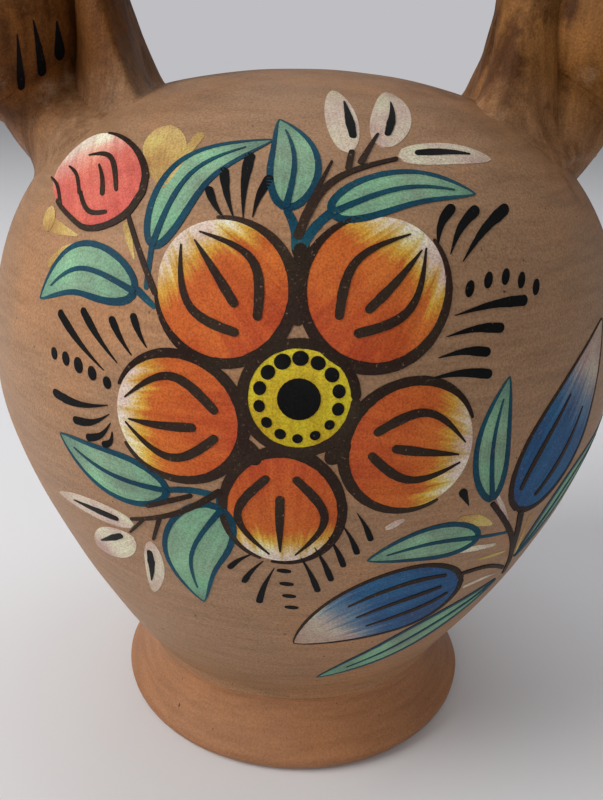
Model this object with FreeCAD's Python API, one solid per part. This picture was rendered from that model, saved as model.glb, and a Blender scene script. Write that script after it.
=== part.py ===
import FreeCAD, Part
import math
import os

# Hand-built earthenware jar with a closed dome, a strap handle over the top and two gourd-shaped
# spouts. Millimetres, +Z up. The origin is the centre of the circle that the jar stands on. The
# handle and both spouts lie in the XZ plane, and "left" is the -X side.

# ---- foot -------------------------------------------------------------------------------------
foot_radius = 66.5          # widest, at the rim
foot_height = 24.0          # up to the flat pad that the bowl stands on
foot_rim_height = 5.0       # of the rounded rim
foot_edge_inset = 4.0       # from the widest radius in to the ring that touches the table
foot_rim_width = 6.5        # of the ring that touches the table
foot_cove_depth = 1.2       # hollow of the outer flare
foot_wall = 9.0             # at the waist

# ---- body -------------------------------------------------------------------------------------
waist_radius = 55.0         # where the bowl meets the foot
body_radius = 105.0
equator_height = 136.0      # seam between the bowl and the dome
dome_height = 228.0         # crown of the dome
body_wall = 7.0
floor_thickness = 8.0
bowl_rise = 8.2             # start of the bowl's curve beyond the waist, out and up alike
bowl_fullness = 0.33        # share of the bowl's height that stays near the full radius
dome_fullness = 0.77        # share of the dome's height that stays near the full radius
dome_flatness = 0.58        # share of the radius that stays near the crown's height

# ---- strap handle -----------------------------------------------------------------------------
handle_top = 321.0          # upper face of the crown
handle_thickness = 17.0     # in the plane of the arch
handle_width = 34.0         # across the strap
handle_foot_spread = 55.0   # half the distance between the legs, well inside the dome
handle_foot_depth = 23.0    # depth of that point under the dome's crown
handle_bulge = 27.0         # how far the arch swings out beyond its feet
handle_shoulder_drop = 34.0 # height of the arch's shoulders under the crown's middle line
handle_crown_reach = 48.0   # flat part of the crown, each way
handle_root_rise = 36.0     # height of the luting clay, up the leg from its buried foot
handle_root_lip = 1.5       # thickness of the luting clay at its upper edge
handle_root_flare = 9.0     # thickness of the luting clay at the dome

# ---- spouts -----------------------------------------------------------------------------------
spout_base_radius = 80.0    # distance of each spout's foot from the jar's axis
spout_lean = 35.0           # from upright, outwards, in degrees
spout_bulb_distance = 41.5  # from the spout's foot to its bulb's centre
spout_bulb_radius = 29.0
spout_bulb_wall = 5.5
spout_neck_radius = 17.0
spout_bore_radius = 12.0    # through the neck and the dome's wall
spout_root_radius = 25.0    # of the luting clay round the neck's foot
spout_root_rise = 8.0       # up the neck from its foot
spout_root_lip = 1.5        # thickness of the luting clay at its upper edge
spout_buried = 30.0         # length made inside the dome and then cut away
mouth_neck_radius = 13.0
mouth_bore_radius = 9.5
mouth_lip_radius = 18.5
mouth_lip_bore = 14.0
mouth_length = 25.0
mouth_lip_edge = 3.0

SIDES = {"left": -1, "right": 1}


def point(radius, height):
    return FreeCAD.Vector(radius, 0, height)


def line(start, end):
    return Part.LineSegment(start, end).toShape()


def arc(start, middle, end):
    return Part.Arc(start, middle, end).toShape()


def bezier(*poles):
    curve = Part.BezierCurve()
    curve.setPoles(list(poles))
    return curve.toShape()


def revolved(edges):
    face = Part.Face(Part.Wire(Part.__sortEdges__(edges)))
    return face.revolve(FreeCAD.Vector(0, 0, 0), FreeCAD.Vector(0, 0, 1), 360)


def bowl_poles(inset, floor):
    """Curve of the bowl from the waist to the equator; inset moves it inwards by the wall."""
    start = point(waist_radius - 1.25 * inset, foot_height + floor)
    rise = point(start.x + bowl_rise + 0.3 * inset, start.z + bowl_rise + 0.3 * inset)
    radius = body_radius - inset
    height = equator_height - bowl_fullness * (equator_height - foot_height)
    return start, rise, point(radius, height), point(radius, equator_height)


def dome_poles(inset):
    """Curve of the dome from the equator to the crown; inset moves it inwards by the wall."""
    radius = body_radius - inset
    top = dome_height - inset
    shoulder = equator_height + dome_fullness * (top - equator_height)
    return (point(radius, equator_height), point(radius, shoulder),
            point(dome_flatness * radius, top), point(0, top))


def dome_height_at(radius):
    curve = Part.BezierCurve()
    curve.setPoles(list(dome_poles(0)))
    low, high = 0.0, 1.0
    for _ in range(40):
        middle = (low + high) / 2
        if curve.value(middle).x > radius:
            low = middle
        else:
            high = middle
    return curve.value(low).z


def make_foot_ring():
    contact_outer = foot_radius - foot_edge_inset
    contact_inner = contact_outer - foot_rim_width
    bulge = foot_edge_inset * (1 - math.sqrt(0.5))
    rim_top = point(foot_radius, foot_rim_height)
    waist = point(waist_radius, foot_height)
    cove = point((foot_radius + waist_radius) / 2 - foot_cove_depth,
                 (foot_rim_height + foot_height) / 2 - foot_cove_depth / 2)
    pad = point(waist_radius - foot_wall, foot_height)
    hollow = point((contact_inner + pad.x) / 2 + foot_cove_depth, foot_height / 2)
    return revolved([
        line(point(contact_inner, 0), point(contact_outer, 0)),
        arc(point(contact_outer, 0), point(foot_radius - bulge, foot_rim_height * 0.3), rim_top),
        arc(rim_top, cove, waist),
        line(waist, pad),
        arc(pad, hollow, point(contact_inner, 0)),
    ])


def make_lower_bowl():
    outer = bowl_poles(0, 0)
    inner = bowl_poles(body_wall, floor_thickness)
    return revolved([
        line(point(0, foot_height), outer[0]),
        bezier(*outer),
        line(outer[-1], inner[-1]),
        bezier(*inner),
        line(inner[0], point(0, inner[0].z)),
        line(point(0, inner[0].z), point(0, foot_height)),
    ])


def make_dome_envelope():
    """Everything inside the dome's outer face, down to the equator."""
    outer = dome_poles(0)
    return revolved([
        bezier(*outer),
        line(outer[-1], point(0, equator_height)),
        line(point(0, equator_height), outer[0]),
    ])


def make_dome_wall():
    outer = dome_poles(0)
    inner = dome_poles(body_wall)
    return revolved([
        bezier(*outer),
        line(outer[-1], inner[-1]),
        bezier(*inner),
        line(inner[0], outer[0]),
    ])


def handle_poles():
    """Middle line of the right half of the arch, from its buried foot to the crown."""
    crown = handle_top - handle_thickness / 2
    foot = point(handle_foot_spread, dome_height - handle_foot_depth)
    return (foot, point(handle_foot_spread + handle_bulge, crown - handle_shoulder_drop),
            point(handle_crown_reach, crown), point(0, crown))


def mirrored(vector):
    return FreeCAD.Vector(-vector.x, vector.y, vector.z)


def strap_section(centre, direction, thickness, width):
    """Ellipse square to the direction, with its long axis along Y."""
    normal = FreeCAD.Vector(direction.z, 0, -direction.x).normalize()
    across = centre + FreeCAD.Vector(0, width / 2, 0)
    through = centre + normal * (thickness / 2)
    return Part.Wire([Part.Ellipse(across, through, centre).toShape()])


def make_arch():
    right = handle_poles()
    left = [mirrored(pole) for pole in right]
    path = Part.Wire([bezier(*right), bezier(*reversed(left))])
    section = strap_section(right[0], right[1] - right[0], handle_thickness, handle_width)
    return path.makePipeShell([section], True, False)


def make_handle_flare(side):
    """Flared luting clay round one leg, still solid where the leg passes through it."""
    curve = Part.BezierCurve()
    poles = handle_poles()
    if side == "left":
        poles = [mirrored(pole) for pole in poles]
    curve.setPoles(list(poles))
    sections = []
    for step, thickness in ((0.0, handle_root_flare * 1.6), (0.35, handle_root_flare * 0.75),
                            (1.0, handle_root_lip)):
        height = poles[0].z + step * handle_root_rise
        parameter = curve.parameter(point(poles[0].x, height))
        centre = curve.value(parameter)
        direction = FreeCAD.Vector(*curve.tangent(parameter)[0])
        sections.append(strap_section(centre, direction, handle_thickness + 2 * thickness,
                                      handle_width + 2 * thickness))
    return Part.makeLoft(sections, True, False)


def on_spout(shape, side):
    """Moves a shape made round +Z to the spout: its origin goes to the spout's foot."""
    sign = SIDES[side]
    shape.rotate(FreeCAD.Vector(0, 0, 0), FreeCAD.Vector(0, 1, 0), sign * spout_lean)
    shape.translate(point(sign * spout_base_radius, dome_height_at(spout_base_radius)))
    return shape


def bulb_seat(radius):
    """Distance from the bulb's centre to the circle of this radius on it."""
    return math.sqrt(spout_bulb_radius ** 2 - radius ** 2)


def cylinder(radius, start, end):
    return Part.makeCylinder(radius, end - start, point(0, start))


def make_neck(side):
    top = spout_bulb_distance - bulb_seat(spout_neck_radius)
    tube = cylinder(spout_neck_radius, -spout_buried, top)
    return on_spout(tube.cut(cylinder(spout_bore_radius, -spout_buried, top)), side)


def make_spout_flare(side):
    """Flared luting clay round the neck's foot."""
    upper = point(spout_neck_radius + spout_root_lip, spout_root_rise)
    lower = point(spout_root_radius, -spout_root_rise)
    cove = point(spout_neck_radius + 2 * spout_root_lip, 0)
    inner_upper = point(spout_neck_radius, spout_root_rise)
    inner_lower = point(spout_neck_radius, -spout_buried)
    skirt = point(spout_root_radius, -spout_buried)
    return on_spout(revolved([
        line(inner_upper, upper),
        arc(upper, cove, lower),
        line(lower, skirt),
        line(skirt, inner_lower),
        line(inner_lower, inner_upper),
    ]), side)


def make_bulb(side):
    """Round hollow bulb, cut flat where the neck and the mouth are luted on."""
    centre = spout_bulb_distance
    bottom = centre - bulb_seat(spout_neck_radius)
    top = centre + bulb_seat(mouth_neck_radius)
    ball = Part.makeSphere(spout_bulb_radius, point(0, centre))
    hollow = Part.makeSphere(spout_bulb_radius - spout_bulb_wall, point(0, centre))
    slab = cylinder(spout_bulb_radius * 2, bottom, top)
    bore = cylinder(spout_bore_radius, bottom, centre)
    outlet = cylinder(mouth_bore_radius, centre, top)
    return on_spout(ball.common(slab).cut(hollow).cut(bore).cut(outlet), side)


def make_mouth(side):
    """Short neck that flares to a rounded lip."""
    start = spout_bulb_distance + bulb_seat(mouth_neck_radius)
    end = start + mouth_length
    middle = start + 0.55 * mouth_length
    flare = 0.25
    outer_middle = mouth_neck_radius + flare * (mouth_lip_radius - mouth_neck_radius)
    inner_middle = mouth_bore_radius + flare * (mouth_lip_bore - mouth_bore_radius)
    lip_outer = point(mouth_lip_radius, end - mouth_lip_edge)
    lip_top = point((mouth_lip_radius + mouth_lip_bore) / 2, end)
    lip_inner = point(mouth_lip_bore, end - mouth_lip_edge)
    return on_spout(revolved([
        line(point(mouth_bore_radius, start), point(mouth_neck_radius, start)),
        arc(point(mouth_neck_radius, start), point(outer_middle, middle), lip_outer),
        arc(lip_outer, lip_top, lip_inner),
        arc(lip_inner, point(inner_middle, middle), point(mouth_bore_radius, start)),
    ]), side)


def main_solid(shape):
    """The piece that is kept of a cut shape: the one farthest up."""
    return max(shape.Solids, key=lambda solid: solid.BoundBox.ZMax)


def make_parts():
    envelope = make_dome_envelope()
    dome = make_dome_wall()
    arch = make_arch()
    parts = {"foot_ring": make_foot_ring(), "lower_bowl": make_lower_bowl()}
    for side in SIDES:
        bore = on_spout(cylinder(spout_bore_radius, -spout_buried, 0.5 * spout_buried), side)
        dome = dome.cut(bore)
        neck = make_neck(side)
        spout_flare = make_spout_flare(side)
        bulb = make_bulb(side)
        parts[side + "_spout_neck"] = main_solid(neck.cut(envelope).cut(arch))
        parts[side + "_spout_bulb"] = main_solid(bulb.cut(arch))
        parts[side + "_spout_mouth"] = make_mouth(side)
        parts[side + "_spout_root"] = main_solid(spout_flare.cut(envelope).cut(arch).cut(bulb))
        handle_flare = make_handle_flare(side).cut(envelope).cut(arch)
        handle_flare = handle_flare.cut(neck).cut(spout_flare).cut(bulb)
        parts[side + "_handle_root"] = main_solid(handle_flare)
    parts["upper_dome"] = dome
    parts["arch_handle"] = main_solid(arch.cut(envelope))
    return parts


os.makedirs("parts", exist_ok=True)
for name, shape in make_parts().items():
    shape.exportStep("parts/" + name + ".step")
    print(name, len(shape.Solids), shape.isValid(), round(shape.Volume, 1))
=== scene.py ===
import functools
import math

import bmesh
import bpy
import numpy as np
from mathutils import Matrix, Vector, noise


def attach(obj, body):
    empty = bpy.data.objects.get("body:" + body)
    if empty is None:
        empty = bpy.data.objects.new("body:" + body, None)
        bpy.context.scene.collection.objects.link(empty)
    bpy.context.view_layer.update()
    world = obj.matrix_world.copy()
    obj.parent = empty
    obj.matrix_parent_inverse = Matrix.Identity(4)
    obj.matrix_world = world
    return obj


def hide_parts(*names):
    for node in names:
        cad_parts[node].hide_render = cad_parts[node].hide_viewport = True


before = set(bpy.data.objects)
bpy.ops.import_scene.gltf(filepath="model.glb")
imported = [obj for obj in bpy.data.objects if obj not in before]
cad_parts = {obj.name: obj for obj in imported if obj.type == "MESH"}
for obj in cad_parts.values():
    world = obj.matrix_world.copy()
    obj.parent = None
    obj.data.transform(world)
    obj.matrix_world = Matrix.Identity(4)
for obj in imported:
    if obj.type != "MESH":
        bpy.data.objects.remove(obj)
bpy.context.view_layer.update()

# A two-spouted clay jar with a painted flower. Lengths are in millimetres in the same frame as the
# CAD, and become metres in build_mesh. Side -1 is the left one as seen from the front, 1 the right.
MM = 0.001
SIDES = ((-1, "left"), (1, "right"))
SHARP_DEGREES = 50          # edges turning more than this are shaded as edges

# ---- shape of the jar ----
FOOT_RADIUS = 66.5
FOOT_RIM_HEIGHT = 5.0
FOOT_EDGE_INSET = 4.0
FOOT_RIM_WIDTH = 6.5
FOOT_COVE = 1.2             # depth of the hollow in the foot's flare
FOOT_WALL = 9.0
WAIST_RADIUS = 55.0
WAIST_HEIGHT = 24.0
BODY_RADIUS = 105.0
EQUATOR = 136.0
CROWN = 228.0
BOWL_RISE = 8.2             # start of the bowl's curve beyond the waist, out and up alike
BOWL_FULLNESS = 0.33        # share of the bowl's height that stays near the full radius
DOME_FULLNESS = 0.77        # share of the dome's height that stays near the full radius
DOME_FLATNESS = 0.58        # share of the radius that stays near the crown's height
WAIST_FILLET = 9.0          # how far the body and the foot run into each other
WALL = 7.0
FLOOR = 8.0
AROUND = 288                # points round the body


def cubic(poles, share):
    """Places on a cubic curve with four poles, at shares of its run."""
    p = np.array(poles, float)
    t = np.asarray(share, float)[..., None]
    return ((1 - t) ** 3 * p[0] + 3 * (1 - t) ** 2 * t * p[1]
            + 3 * (1 - t) * t * t * p[2] + t ** 3 * p[3])


def bowl_curve(inset, floor, count):
    """(radius, height) places up the bowl, moved in from the outer clay by an inset."""
    start = (WAIST_RADIUS - 1.25 * inset, WAIST_HEIGHT + floor)
    rise = BOWL_RISE + 0.3 * inset
    return cubic([start, (start[0] + rise, start[1] + rise),
                  (BODY_RADIUS - inset, EQUATOR - BOWL_FULLNESS * (EQUATOR - WAIST_HEIGHT)),
                  (BODY_RADIUS - inset, EQUATOR)], np.linspace(0, 1, count))


def dome_curve(inset, count):
    """(radius, height) places from the equator to the crown, moved in by an inset."""
    radius = BODY_RADIUS - inset
    top = CROWN - inset
    return cubic([(radius, EQUATOR), (radius, EQUATOR + DOME_FULLNESS * (top - EQUATOR)),
                  (DOME_FLATNESS * radius, top), (0, top)], np.linspace(0, 1, count))


def soft_max(first, second, blend):
    """The larger of two values, rounded off where they are within the blend of each other."""
    near = np.maximum(blend - np.abs(first - second), 0) / blend
    return np.maximum(first, second) + near * near * blend / 4


FOOT_SLOPE = (FOOT_RADIUS - WAIST_RADIUS) / (WAIST_HEIGHT - FOOT_RIM_HEIGHT)
BOWL = bowl_curve(0, 0, 400)
BOWL[:, 0] = soft_max(BOWL[:, 0], WAIST_RADIUS - FOOT_SLOPE * (BOWL[:, 1] - WAIST_HEIGHT),
                      WAIST_FILLET)
DOME = dome_curve(0, 400)
PROFILE = np.vstack([BOWL, DOME[1:]])
ARC = np.concatenate([[0], np.cumsum(np.hypot(*np.diff(PROFILE, axis=0).T))])
ARC_EQUATOR = ARC[len(BOWL) - 1]
ARC_CROWN = ARC[-1]


def profile_at(arc):
    """Radius and height of the outer clay at an arc length from the waist."""
    return np.interp(arc, ARC, PROFILE[:, 0]), np.interp(arc, ARC, PROFILE[:, 1])


def wobble(point):
    """Outward unevenness of the hand-made clay at a point, in millimetres."""
    broad = noise.noise(Vector(point) / 62) * 0.9
    middle = noise.noise(Vector(point) / 19 + Vector((7, 3, 1))) * 0.22
    return broad + middle


def on_jar(angle, arc, lift=0.0):
    """Point of the outer clay at an angle from the front (-Y, right positive) and an arc length
    from the waist, lifted off the clay."""
    radius, height = profile_at(arc)
    step_r, step_z = np.subtract(profile_at(min(arc + 0.5, ARC_CROWN)), profile_at(max(arc - 0.5, 0)))
    length = math.hypot(step_r, step_z)
    out_r = step_z / length
    out_z = -step_r / length
    sin, cos = math.sin(angle), math.cos(angle)
    base = Vector((radius * sin, -radius * cos, height))
    fade = min(1.0, radius / 12)            # the crown's middle is nearly smooth
    grow = lift + wobble(base) * (0.4 + 0.6 * fade)
    return base + Vector((out_r * sin, -out_r * cos, out_z)) * grow


# ---- meshes ----

def build_mesh(name, points, faces, material, replaces=(), uvs=None):
    """A smooth-shaded piece on the body "root", with one texture place per point if it is paint."""
    mesh = bpy.data.meshes.new(name)
    mesh.from_pydata([Vector(p) * MM for p in points], [], faces)
    if uvs is not None:
        layer = mesh.uv_layers.new(name="paint")
        for loop in mesh.loops:
            layer.data[loop.index].uv = uvs[loop.vertex_index]
    mesh.validate()
    shape = bmesh.new()
    shape.from_mesh(mesh)
    bmesh.ops.recalc_face_normals(shape, faces=shape.faces)
    shape.to_mesh(mesh)
    shape.free()
    mesh.polygons.foreach_set("use_smooth", [True] * len(mesh.polygons))
    mesh.set_sharp_from_angle(angle=math.radians(SHARP_DEGREES))
    piece = bpy.data.objects.new(name, mesh)
    bpy.context.scene.collection.objects.link(piece)
    mesh.materials.append(material)
    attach(piece, "root")
    if replaces:
        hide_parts(*replaces)
    return piece


def ring_faces(rings, around, closed_loop=False, cap_start=False, cap_end=False):
    """Quads between rings of points, each ring with the same number of points."""
    faces = []
    last = rings if closed_loop else rings - 1
    for row in range(last):
        a = row * around
        b = ((row + 1) % rings) * around
        for i in range(around):
            j = (i + 1) % around
            faces.append((a + i, a + j, b + j, b + i))
    if cap_start:
        faces.append(tuple(reversed(range(around))))
    if cap_end:
        start = (rings - 1) * around
        faces.append(tuple(start + i for i in range(around)))
    return faces


def turns(around):
    """Angles all round, in radians."""
    return [2 * math.pi * i / around for i in range(around)]


def circle(radius, height):
    """Ring of points round the jar's axis, from the front."""
    return [Vector((radius * math.sin(turn), -radius * math.cos(turn), height))
            for turn in turns(AROUND)]


def clay_ring(arc):
    """Ring of points of the outer clay."""
    return [on_jar(turn, arc) for turn in turns(AROUND)]


def make_body():
    clay = clay_material("body_clay")
    steps = 84
    points = []
    for k in range(steps + 1):
        points += clay_ring(ARC_EQUATOR * k / steps)
    for radius, height in bowl_curve(WALL, FLOOR, 14)[::-1]:
        points += circle(radius, height)
    faces = ring_faces(len(points) // AROUND, AROUND, cap_start=True, cap_end=True)
    build_mesh("bowl_clay", points, faces, clay, ["lower_bowl"])

    steps = 92
    crowding = 1.15             # rings lie closer together towards the crown
    points = []
    for radius, height in dome_curve(WALL, 16)[-2::-1]:
        points += circle(radius, height)
    for k in range(steps):
        run = 1 - (1 - k / steps) ** crowding
        points += clay_ring(ARC_EQUATOR + (ARC_CROWN - ARC_EQUATOR) * run)
    top = len(points)
    last = top - AROUND
    faces = ring_faces(top // AROUND, AROUND, cap_start=True)
    faces += [(last + i, last + (i + 1) % AROUND, top) for i in range(AROUND)]
    points.append(on_jar(0, ARC_CROWN))
    build_mesh("dome_clay", points, faces, clay, ["upper_dome"])


def make_foot():
    outer = FOOT_RADIUS - FOOT_EDGE_INSET
    inner = outer - FOOT_RIM_WIDTH
    pad = WAIST_RADIUS - FOOT_WALL
    rim_steps, flare_steps = 8, 32
    section = [(outer, 0)]
    for k in range(1, rim_steps + 1):
        turn = math.pi / 2 * k / rim_steps
        section.append((outer + FOOT_EDGE_INSET * math.sin(turn),
                        FOOT_RIM_HEIGHT * (1 - math.cos(turn))))
    for k in range(1, flare_steps + 1):
        t = k / flare_steps
        radius = FOOT_RADIUS + (WAIST_RADIUS - FOOT_RADIUS) * t - FOOT_COVE * math.sin(math.pi * t)
        height = FOOT_RIM_HEIGHT + (WAIST_HEIGHT - FOOT_RIM_HEIGHT) * t
        bowl_radius = WAIST_RADIUS + height - WAIST_HEIGHT
        section.append((float(soft_max(radius, bowl_radius, WAIST_FILLET)), height))
    section.append((pad, WAIST_HEIGHT))
    section.append(((inner + pad) / 2 + FOOT_COVE, WAIST_HEIGHT / 2))
    section.append((inner, 0))

    points = []
    for radius, height in section:
        for point in circle(radius, height):
            out = Vector((point.x, point.y, 0)).normalized()
            near_edge = min(1.0, point.z / 4)
            points.append(point + out * wobble(point) * near_edge)
    faces = ring_faces(len(section), AROUND, closed_loop=True)
    build_mesh("foot_clay", points, faces, clay_material("foot_clay"), ["foot_ring"])


# ---- handle and spouts ----

HANDLE_TOP = 321.0
HANDLE_THICKNESS = 17.0
HANDLE_WIDTH = 34.0
HANDLE_MIDDLE_TOP = HANDLE_TOP - HANDLE_THICKNESS / 2
HANDLE_POLES = [(55, CROWN - 23), (82, HANDLE_MIDDLE_TOP - 34),
                (48, HANDLE_MIDDLE_TOP), (0, HANDLE_MIDDLE_TOP)]
LEG_THICKNESS = {-1: 14.5, 1: 20.5}     # near the dome; pulled by hand, they aren't alike
LEG_SHIFT = {-1: 3.2, 1: 0.8}           # how far each leg leans outwards of the true arch
ROOT_DOWN = {-1: 22.0, 1: 31.0}         # how far each leg's pressed root reaches down the dome
LEG_REACH = 0.8             # share of the half arch that a leg's own thickness and lean fade over
LEAN_GAIN = 1.6             # how much sooner the lean is full than the thickness
LEG_RADIUS_ON_DOME = 61.0
LEG_START = 0.045           # place along the half arch just inside the dome's wall
LEG_ROOT_TOP = 0.25         # place along the half arch where the pressed root begins
HANDLE_ROOT_REACH = (11.0, 30.0)        # up the dome and across
HANDLE_ROOT_PULLS = (18.0, 14.0)
HANDLE_AROUND = 64

SPOUT_RADIUS_ON_DOME = {-1: 79.5, 1: 76.0}          # the right spout stands more upright
SPOUT_LEAN = {-1: math.radians(35), 1: math.radians(31)}
BULB_AT = 40.5              # distances along the spout's axis from the dome
BULB_RADIUS = 29.0
BULB_WALL = 5.5
NECK_RADIUS = 15.5
NECK_BLEND, MOUTH_BLEND = 3.0, 7.0      # how far neck and mouth run into the bulb
SPOUT_ROOTS = {-1: (14.0, 20.0), 1: (6.0, 11.0)}    # where each root starts on its neck, its reach
NECK_BURIED = -9.0          # start of the neck, inside the dome's wall
NECK_END = 18.0
NECK_BORE = 12.0
MOUTH_START = 67.4
MOUTH_LENGTH = 25.0
MOUTH_RADIUS = 13.0
MOUTH_END = MOUTH_START + MOUTH_LENGTH
MOUTH_LIP = 18.5
MOUTH_BORE = 9.5
# Depths below the lip and the mouth's inner radii there.
MOUTH_FUNNEL = ((0.0, MOUTH_LIP - 3.0), (1.2, 14.0), (9.0, 11.0), (16.0, MOUTH_BORE))
LIP_ROUND = 0.8
SPOUT_ROOT_REACH = (26.0, 38.0)         # up the dome and across
SPOUT_ROOT_PULLS = (12.0, 22.0)
SPOUT_AROUND = 96


def arc_at_radius(radius):
    """Arc length from the waist of the point of the dome at a radius."""
    return float(np.interp(radius, PROFILE[::-1, 0][:len(DOME)], ARC[::-1][:len(DOME)]))


def arch_frame(place):
    """Middle of the handle, its direction up the leg and its outward direction. The place runs
    from 0 at the left foot to 2 at the right foot."""
    side = -1 if place < 1 else 1
    t = place if place < 1 else 2 - place
    x, z = cubic(HANDLE_POLES, t)
    p = np.array(HANDLE_POLES)
    way = (3 * (1 - t) ** 2 * (p[1] - p[0]) + 6 * (1 - t) * t * (p[2] - p[1])
           + 3 * t * t * (p[3] - p[2]))
    way /= np.linalg.norm(way)
    return (Vector((side * x, 0, z)), Vector((side * way[0], 0, way[1])),
            Vector((side * way[1], 0, -way[0])))


def on_handle(place, turn, grow=0.0):
    """Point of the handle's surface; turn 0 faces outwards and a quarter turn faces +Y."""
    centre, _, out = arch_frame(place)
    side = -1 if place < 1 else 1
    lower = max(0.0, 1 - abs(place - (0 if side < 0 else 2)) / LEG_REACH)
    thickness = HANDLE_THICKNESS + (LEG_THICKNESS[side] - HANDLE_THICKNESS) * lower ** 0.5
    centre = centre + out * LEG_SHIFT[side] * min(1.0, LEAN_GAIN * lower)
    point = (centre + out * (thickness / 2 * math.cos(turn))
             + Vector((0, HANDLE_WIDTH / 2 * math.sin(turn), 0)))
    away = (point - centre).normalized()
    dents = noise.noise(Vector((point.x / 11, point.y / 9, point.z / 34))) * 1.0
    scrapes = noise.noise(Vector((math.cos(turn) * 5, math.sin(turn) * 5, place * 7))) * 0.5
    return point + away * (dents + scrapes - 0.4 + grow)


def make_handle():
    clay = clay_material("shoulder_clay")
    steps = 150
    points = []
    for place in np.linspace(LEG_START, 2 - LEG_START, steps + 1):
        points += [on_handle(place, turn) for turn in turns(HANDLE_AROUND)]
    faces = ring_faces(steps + 1, HANDLE_AROUND, cap_start=True, cap_end=True)
    build_mesh("handle_clay", points, faces, clay, ["arch_handle"])
    for side, name in SIDES:
        top = LEG_ROOT_TOP if side < 0 else 2 - LEG_ROOT_TOP
        start = [on_handle(top, turn, 0.1) for turn in turns(HANDLE_AROUND)]
        _, upwards, _ = arch_frame(top)
        skirt(f"{name}_handle_root_clay", start, -upwards, side, LEG_RADIUS_ON_DOME,
              (ROOT_DOWN[side], *HANDLE_ROOT_REACH), HANDLE_ROOT_PULLS, [f"{name}_handle_root"])


def skirt(name, start, down, side, radius, footprint, pulls, replaces):
    """Clay pressed down from a ring of points onto the dome around a place at a radius, running
    out tangentially at both ends. The footprint is its reach down the dome, up it and across, and
    the pulls say how long it follows its start and the dome."""
    clay = clay_material("shoulder_clay")
    around = len(start)
    arc = arc_at_radius(radius)
    rings = 18
    down_dome, up_dome, aside = footprint
    ends = []
    for turn in turns(around):
        uneven = 1 + 0.10 * noise.noise(Vector((math.cos(turn) * 1.6, math.sin(turn) * 1.6,
                                                radius + 9 * side)))
        pair = []
        for reach in (1.0, 1.12):
            up = -(down_dome if math.cos(turn) > 0 else up_dome) * reach * uneven * math.cos(turn)
            across = aside * reach * uneven * math.sin(turn)
            local, _ = profile_at(arc + up)
            pair.append(on_jar(side * (math.pi / 2 + across / local), arc + up, -0.1))
        ends.append((pair[0], (pair[1] - pair[0]).normalized()))
    points = []
    for k in range(rings + 1):
        s = k / rings
        from_start, along_start = 2 * s ** 3 - 3 * s * s + 1, s ** 3 - 2 * s * s + s
        from_end, along_end = -2 * s ** 3 + 3 * s * s, s ** 3 - s * s
        for above, (end, out) in zip(start, ends):
            point = (above * from_start + down * (pulls[0] * along_start)
                     + end * from_end + out * (pulls[1] * along_end))
            dent = noise.noise(Vector((point.x / 9, point.y / 7, point.z / 14))) * 1.1
            points.append(point + out * dent * math.sin(math.pi * s))
    inside = on_jar(side * math.pi / 2, arc, -WALL / 2)
    points += [inside + (end - inside) * 0.6 for end, _ in ends]
    faces = ring_faces(rings + 2, around, cap_start=True, cap_end=True)
    build_mesh(name, points, faces, clay, replaces)


def spout_frame(side):
    """Where a spout's axis starts on the dome, and its directions along and away from the jar."""
    radius, lean = SPOUT_RADIUS_ON_DOME[side], SPOUT_LEAN[side]
    _, height = profile_at(arc_at_radius(radius))
    axis = Vector((side * math.sin(lean), 0, math.cos(lean)))
    out = Vector((side * math.cos(lean), 0, -math.sin(lean)))
    return Vector((side * radius, 0, height)), axis, out


def spout_outline(distance):
    """Outer radius of the spout at a distance along its axis."""
    inside = BULB_RADIUS ** 2 - (distance - BULB_AT) ** 2
    bulb = math.sqrt(inside) if inside > 0 else 0.0
    mouth_run = (distance - MOUTH_START) / MOUTH_LENGTH
    if distance > BULB_AT:
        flare = MOUTH_RADIUS + (MOUTH_LIP - MOUTH_RADIUS) * max(0.0, mouth_run) ** 2.2
        return float(soft_max(bulb, flare, MOUTH_BLEND))
    return float(soft_max(bulb, NECK_RADIUS, NECK_BLEND))


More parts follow.
